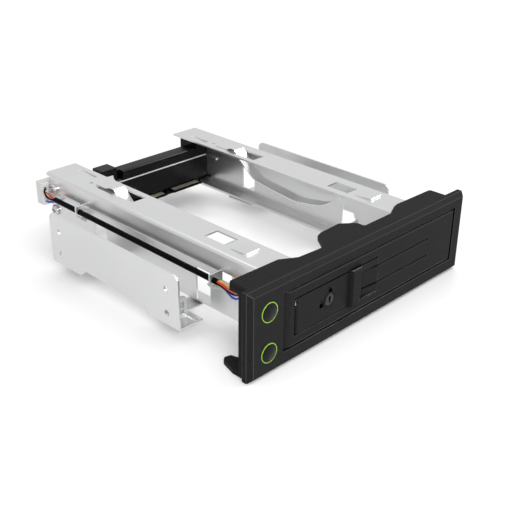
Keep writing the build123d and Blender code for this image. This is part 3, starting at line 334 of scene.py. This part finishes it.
def cap_black():
    """Satin black of the two push caps."""
    finish = Finish("cap_black", (0.005, 0.005, 0.0054), 0.3, Specular_IOR_Level=0.12)
    speck = finish.noise(2200, detail=1.0)
    finish.vary("Roughness", 0.24 + 0.1 * speck)
    return finish.material


def green_light_guide_with_painted_glow():
    # painted glow: the ring gives off a faint green light of its own
    finish = Finish("green_light_guide_with_painted_glow", (0.27, 0.52, 0.035), 0.35, Emission_Strength=0.05,
                    Emission_Color=(0.33, 0.7, 0.04, 1))
    speck = finish.noise(500, detail=1.0)
    finish.vary("Roughness", 0.3 + 0.1 * speck)
    return finish.material


def board_resist():
    """Green solder resist with faint tracks."""
    finish = Finish("board_resist", (0.02, 0.09, 0.04), 0.3)
    weave = finish.noise(600, (1, 1, 0.2), detail=1.0)
    finish.tint(weave, (0.015, 0.075, 0.03), (0.03, 0.12, 0.055))
    finish.vary("Roughness", 0.26 + 0.1 * weave)
    return finish.material


def plain_moulding(name, colour, roughness, gloss=0.4):
    finish = Finish(name, colour, roughness, Specular_IOR_Level=gloss)
    cloud = finish.noise(400, detail=1.0)
    finish.vary("Roughness", roughness - 0.05 + 0.1 * cloud)
    return finish.material


def gold_flash():
    finish = Finish("gold_flash", (0.92, 0.86, 0.66), 0.35, 0.35)
    cloud = finish.noise(900, detail=1.0)
    finish.vary("Roughness", 0.3 + 0.12 * cloud)
    return finish.material


FINISHES = {
    "black_plastic": spark_eroded_black_and_painted_crease_shade(),
    "holder_plastic": piano_black(),
    "socket_plastic": plain_moulding("socket_black", (0.003, 0.003, 0.003), 0.4, 0.08),
    "zinc_steel": plated_sheet(),
    "spring_steel": bright_spring_steel(),
    "screw_steel": plated_screw(),
    "pin_steel": plated_screw(),
    "lock_metal": dark_lock_metal(),
    "light_green": green_light_guide_with_painted_glow(),
    "board_green": board_resist(),
    "contact_gold": gold_flash(),
    "white_plastic": plain_moulding("plug_white", (0.88, 0.88, 0.87), 0.4),
    "sleeve_black": plain_moulding("sleeve_black", (0.001, 0.001, 0.001), 0.5, 0.05),
    "wire_black": plain_moulding("wire_black", (0.002, 0.002, 0.002), 0.4, 0.1),
    "wire_red": plain_moulding("wire_red", (0.72, 0.035, 0.015), 0.35),
    "wire_yellow": plain_moulding("wire_yellow", (0.9, 0.55, 0.02), 0.35),
    "wire_blue": plain_moulding("wire_blue", (0.03, 0.04, 0.72), 0.35),
}
CAP_FINISH = cap_black()
EDGE_FINISHES = {"black_plastic": polished_edge_black(), "lock_metal": worn_edge_metal()}
SIGN_FINISH = plain_moulding("sign_print", (0.0003, 0.0003, 0.0003), 0.8, 0.0)

# Edge roundings in millimetres by slot
EDGE_ROUNDING = {
    "black_plastic": 0.2, "holder_plastic": 0.25, "zinc_steel": 0.12, "screw_steel": 0.12,
    "white_plastic": 0.15, "socket_plastic": 0.12, "lock_metal": 0.1, "spring_steel": 0.06,
}


def placed(name, data):
    """New object of the scene that shows the given data."""
    thing = bpy.data.objects.new(name, data)
    bpy.context.scene.collection.objects.link(thing)
    return thing


def shade(mesh, smooth=True):
    """Marks all faces of a mesh as smooth or flat."""
    for face in mesh.polygons:
        face.use_smooth = smooth


def has_room(edge, width):
    """True where the faces beside an edge are wide enough for its rounding, and it is long enough."""
    for loop in edge.link_loops:
        if min(loop.link_loop_next.edge.calc_length(), loop.link_loop_prev.edge.calc_length()) < width:
            return False
    return edge.calc_length() > width


def rounded_copy(piece, width, merge_flats):
    """Merged copy of a solid with its outward edges rounded, in place of the solid."""
    shape = bmesh.new()
    shape.from_mesh(piece.data)
    bmesh.ops.remove_doubles(shape, verts=shape.verts, dist=SOLID_MERGE * MM)
    if merge_flats:
        bmesh.ops.dissolve_limit(shape, angle_limit=FLAT_ANGLE, verts=shape.verts, edges=shape.edges)
    outward = [edge for edge in shape.edges
               if len(edge.link_faces) == 2 and edge.calc_face_angle_signed(0) > OUTWARD_ANGLE
               and has_room(edge, ROOM_PER_ROUNDING * width * MM)]
    made = bmesh.ops.bevel(shape, geom=outward, offset=width * MM, offset_type="OFFSET", segments=2,
                           profile=0.5, affect="EDGES", clamp_overlap=False,
                           material=len(piece.data.materials) - 1)
    strips = set(made["faces"])
    for edge in shape.edges:
        borders = len(strips.intersection(edge.link_faces)) == 1
        edge.smooth = (not borders and len(edge.link_faces) == 2
                       and edge.calc_face_angle(0) < SMOOTH_ANGLE)
    bmesh.ops.triangulate(shape, faces=[face for face in shape.faces if len(face.verts) > 4])
    mesh = bpy.data.meshes.new(piece.name + "_rounded")
    shape.to_mesh(mesh)
    shape.free()
    shade(mesh)
    for material in piece.data.materials:
        mesh.materials.append(material)
    copy = placed(piece.name + "_rounded", mesh)
    level = copy.modifiers.new("level", "WEIGHTED_NORMAL")
    level.keep_sharp = True
    return copy


def split_creases(piece):
    """Sharp shading at the piece's creases, smooth elsewhere."""
    split = piece.modifiers.new("crease", "EDGE_SPLIT")
    split.split_angle = CREASE_ANGLE


def dress_nodes():
    """Gives every solid its finish, its shading and its edge rounding."""
    record = frame["record"]
    slots = {entry["node"]: entry["material_slot"] for entry in record["subparts"]}
    bodies = {node: body for body, nodes in record["behaviour"]["bodies"].items() for node in nodes}
    for name, piece in frame["nodes"].items():
        slot = slots[name]
        is_cap = name in BUTTON_HEIGHTS
        has_own_edges = slot in EDGE_FINISHES
        piece.data.materials.clear()
        piece.data.materials.append(CAP_FINISH if is_cap else FINISHES[slot])
        shade(piece.data)
        if slot in EDGE_ROUNDING and not is_cap:
            if has_own_edges:
                piece.data.materials.append(EDGE_FINISHES[slot])
            copy = rounded_copy(piece, EDGE_ROUNDING[slot], merge_flats=has_own_edges)
            belong(copy, bodies[name], slot, name)
        else:
            weld = piece.modifiers.new("join", "WELD")
            weld.merge_threshold = SOLID_MERGE * MM
            split_creases(piece)


def piece_from(shape, name, material, smooth=True):
    """Makes an object from a bmesh that is in millimetres, with its place in its mesh."""
    bmesh.ops.remove_doubles(shape, verts=shape.verts, dist=SHAPE_MERGE)
    bmesh.ops.recalc_face_normals(shape, faces=shape.faces)
    bmesh.ops.scale(shape, vec=(MM, MM, MM), verts=shape.verts)
    mesh = bpy.data.meshes.new(name)
    shape.to_mesh(mesh)
    shape.free()
    shade(mesh, smooth)
    mesh.materials.append(material)
    return placed(name, mesh)


def belong(piece, body, slot, *replaced):
    """The piece moves with a body and may stand for solids; its slot is not used."""
    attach(piece, body)
    if replaced:
        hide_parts(*replaced)


def turned(profile, centre, steps=64):
    """Solid of revolution about the Y axis through centre; profile points are (radius, y)."""
    shape = bmesh.new()
    rim = [shape.verts.new((centre[0] + r, y, centre[1])) for r, y in profile]
    edges = [shape.edges.new(pair) for pair in zip(rim, rim[1:])]
    bmesh.ops.spin(shape, geom=rim + edges, cent=(centre[0], 0, centre[1]), axis=(0, 1, 0),
                   angle=math.tau, steps=steps, use_merge=True, use_duplicate=False)
    return shape


def make_push_cap(name, height):
    """Domed cap with a rounded rim, over the flange and stem behind it."""
    flat = CAP_RADIUS - CAP_ROUNDING
    profile = []
    for step in range(CAP_BULGE_STEPS + 1):
        r = flat * step / CAP_BULGE_STEPS
        profile.append((r, CAP_FRONT + CAP_BULGE * (r / CAP_RADIUS) ** 2))
    rim_y = profile[-1][1]
    for step in range(1, CAP_ROUNDING_STEPS + 1):
        turn = math.radians(90 * step / CAP_ROUNDING_STEPS)
        profile.append((flat + CAP_ROUNDING * math.sin(turn), rim_y + CAP_ROUNDING * (1 - math.cos(turn))))
    profile += [(CAP_RADIUS, CAP_FLANGE_FRONT), (CAP_FLANGE_RADIUS, CAP_FLANGE_FRONT),
                (CAP_FLANGE_RADIUS, CAP_FLANGE_REAR), (CAP_STEM_RADIUS, CAP_FLANGE_REAR),
                (CAP_STEM_RADIUS, CAP_STEM_REAR), (0, CAP_STEM_REAR)]
    cap = piece_from(turned(profile, (BUTTON_X, height)), name + "_cap", CAP_FINISH)
    split_creases(cap)
    belong(cap, name, "black_plastic", name)


def make_strand(colour, route):
    """Round insulated wire along a smooth line through the route, in place of its solid."""
    name = "strand_" + colour
    curve = bpy.data.curves.new(name, "CURVE")
    curve.dimensions = "3D"
    curve.bevel_depth = WIRE_RADIUS * MM
    curve.bevel_resolution = 5
    curve.resolution_u = 12
    curve.use_fill_caps = True
    line = curve.splines.new("NURBS")
    line.points.add(len(route) - 1)
    for point, place in zip(line.points, route):
        point.co = (*(Vector(place) * MM), 1)
    line.order_u = 3
    line.use_endpoint_u = True
    curve.materials.append(FINISHES["wire_" + colour])
    belong(placed(name, curve), "cage", "wire_" + colour, "wire_" + colour)


def make_lead():
    """Sleeved four-wire lead from the rear wafer to the front plug."""
    for colour, wire in WIRES.items():
        wafer_z = WAFER_TOP - WAFER_PITCH * wire["wafer_way"]
        plug_z = PLUG_TOP - PLUG_PITCH * wire["plug_way"]
        sleeve_x = CABLE_X + wire["side"]
        rear_z = SLEEVE_REAR_Z + wire["rise"]
        front_z = SLEEVE_FRONT_Z + wire["rise"]
        make_strand(colour, [
            (WAFER_X, WAFER_FACE + WAFER_DEPTH, wafer_z),
            (WAFER_X, WAFER_FACE - ENTRY_STRAIGHT, wafer_z),
            *wire["rear_bends"],
            (sleeve_x, SLEEVE_REAR_Y + SLEEVE_REAR_REACH, rear_z),
            (sleeve_x, SLEEVE_REAR_Y - SLEEVE_STRAIGHT, rear_z),
            (sleeve_x, SLEEVE_FRONT_Y + SLEEVE_STRAIGHT, front_z),
            (sleeve_x, SLEEVE_FRONT_Y - SLEEVE_FRONT_REACH, front_z),
            *wire["front_bends"],
            (PLUG_X, PLUG_REAR + ENTRY_STRAIGHT, plug_z),
            (PLUG_X, PLUG_REAR - PLUG_DEPTH, plug_z),
        ])


def bent_bar(shape, centre):
    """The shackle's half turn in the XZ plane, standing proud towards the front."""
    inner, outer = SHACKLE_RADIUS - SHACKLE_HALF, SHACKLE_RADIUS + SHACKLE_HALF
    section = ((inner, 0), (outer, 0), (outer, SIGN_DEPTH), (inner, SIGN_DEPTH))
    corners = [shape.verts.new((centre[0] + radius, centre[1] - proud, centre[2]))
               for radius, proud in section]
    face = shape.faces.new(corners)
    bmesh.ops.spin(shape, geom=[face] + list(face.edges) + corners, cent=centre, axis=(0, -1, 0),
                   angle=math.pi, steps=SHACKLE_STEPS, use_duplicate=True)


def box_in(shape, low, high):
    """Straight block between two corners."""
    made = bmesh.ops.create_cube(shape, size=1.0)["verts"]
    size = [b - a for a, b in zip(low, high)]
    middle = [(a + b) / 2 for a, b in zip(low, high)]
    bmesh.ops.scale(shape, vec=size, verts=made)
    bmesh.ops.translate(shape, vec=middle, verts=made)


def make_padlock_sign(name, place, is_open):
    """Raised padlock sign on the lever: square body and bent shackle, drawn aside where it is open."""
    shape = bmesh.new()
    x, z = place
    back = LEVER_FACE + SIGN_SINK
    face = back - SIGN_DEPTH
    box_in(shape, (x - PADLOCK_HALF, face, z + PADLOCK_BOTTOM), (x + PADLOCK_HALF, back, z + PADLOCK_TOP))
    shackle_x = x - OPEN_SHIFT if is_open else x
    shoulder = z + SHACKLE_HEIGHT
    bent_bar(shape, (shackle_x, back, shoulder))
    for side in (1,) if is_open else (-1, 1):
        leg = shackle_x + side * SHACKLE_RADIUS
        box_in(shape, (leg - SHACKLE_HALF, face, z + SHACKLE_FOOT),
               (leg + SHACKLE_HALF, back, shoulder + SHACKLE_OVERLAP))
    belong(piece_from(shape, name, SIGN_FINISH, smooth=False), "lever", "black_plastic")


def make_floor():
    """Pale floor that shows white to the camera and keeps the soft shadow, with painted shade round the
    part's foot.
    """
    shape = bmesh.new()
    bmesh.ops.create_grid(shape, x_segments=1, y_segments=1, size=FLOOR_HALF / MM)
    floor_finish = bpy.data.materials.new("pale_floor")
    network = Network(floor_finish)
    paper = network.add("ShaderNodeBsdfPrincipled", {}, {"Base Color": (0.92, 0.92, 0.92, 1),
                                                         "Roughness": 0.14})
    glow = network.add("ShaderNodeEmission", {}, {"Strength": FLOOR_GLOW})
    rays = network.add("ShaderNodeLightPath")
    seen = Field(network, rays.outputs["Is Camera Ray"])
    mirrored = Field(network, rays.outputs["Is Glossy Ray"])
    # painted shade: near the part ambient occlusion fades the glow, so the lit paper with its real shadow
    # shows through and the floor darkens round the foot
    clear = network.openness(PAINTED_CONTACT_SHADE_REACH)
    share = FLOOR_SEEN * seen * clear * clear + FLOOR_MIRRORED * mirrored
    mix = network.add("ShaderNodeMixShader", {}, {0: share, 1: paper.outputs[0], 2: glow.outputs[0]})
    network.add("ShaderNodeOutputMaterial", {}, {"Surface": mix.outputs[0]})
    floor = piece_from(shape, "floor", floor_finish, smooth=False)
    floor.data.transform(Matrix.Translation((0, 0, cad_box[0][2] - FLOOR_DROP)))


def make_world():
    """Even studio light, white to the camera."""
    world = bpy.data.worlds.new("studio")
    bpy.context.scene.world = world
    network = Network(world)
    rays = network.add("ShaderNodeLightPath")
    seen = Field(network, rays.outputs["Is Camera Ray"])
    mirrored = Field(network, rays.outputs["Is Glossy Ray"])
    strength = WORLD_LIGHT + WORLD_SEEN * seen + WORLD_MIRRORED * mirrored
    back = network.add("ShaderNodeBackground", {}, {"Color": (1, 1, 1, 1), "Strength": strength})
    network.add("ShaderNodeOutputWorld", {}, {"Surface": back.outputs[0]})


def make_lamp(name, place, aim, size, watts):
    """Soft square lamp aimed at a point."""
    light = bpy.data.lights.new(name, "AREA")
    light.shape = "SQUARE"
    light.size = size
    light.energy = watts
    lamp = placed(name, light)
    lamp.location = place
    toward = Vector(aim) - Vector(place)
    lamp.rotation_euler = toward.to_track_quat("-Z", "Y").to_euler()


def make_camera():
    """Camera at the photograph's place, with its slight roll."""
    azimuth = math.radians(CAMERA_AZIMUTH)
    elevation = math.radians(CAMERA_ELEVATION)
    back = Vector((math.sin(azimuth) * math.cos(elevation), -math.cos(azimuth) * math.cos(elevation),
                   math.sin(elevation)))
    right = Vector((math.cos(azimuth), math.sin(azimuth), 0))
    up = back.cross(right)
    turn = Matrix.Rotation(math.radians(CAMERA_ROLL), 3, back)
    right = turn @ right
    up = turn @ up
    lens = bpy.data.cameras.new("camera")
    lens.lens = CAMERA_LENS
    lens.sensor_width = CAMERA_SENSOR
    lens.clip_start = CAMERA_NEAR
    camera = placed("camera", lens)
    place = CAMERA_TARGET + back * CAMERA_DISTANCE
    axes = Matrix((right, up, back)).transposed().to_4x4()
    camera.matrix_world = Matrix.Translation(place) @ axes
    bpy.context.scene.camera = camera


dress_nodes()
for cap_name, cap_height in BUTTON_HEIGHTS.items():
    make_push_cap(cap_name, cap_height)
make_lead()
make_padlock_sign("open_padlock_sign", OPEN_SIGN, True)
make_padlock_sign("closed_padlock_sign", CLOSED_SIGN, False)
make_floor()
make_world()
for lamp_name, (lamp_place, lamp_aim, lamp_size, lamp_watts) in LAMPS.items():
    make_lamp(lamp_name, lamp_place, lamp_aim, lamp_size, lamp_watts)
make_camera()
bpy.context.scene.view_settings.view_transform = "Standard"
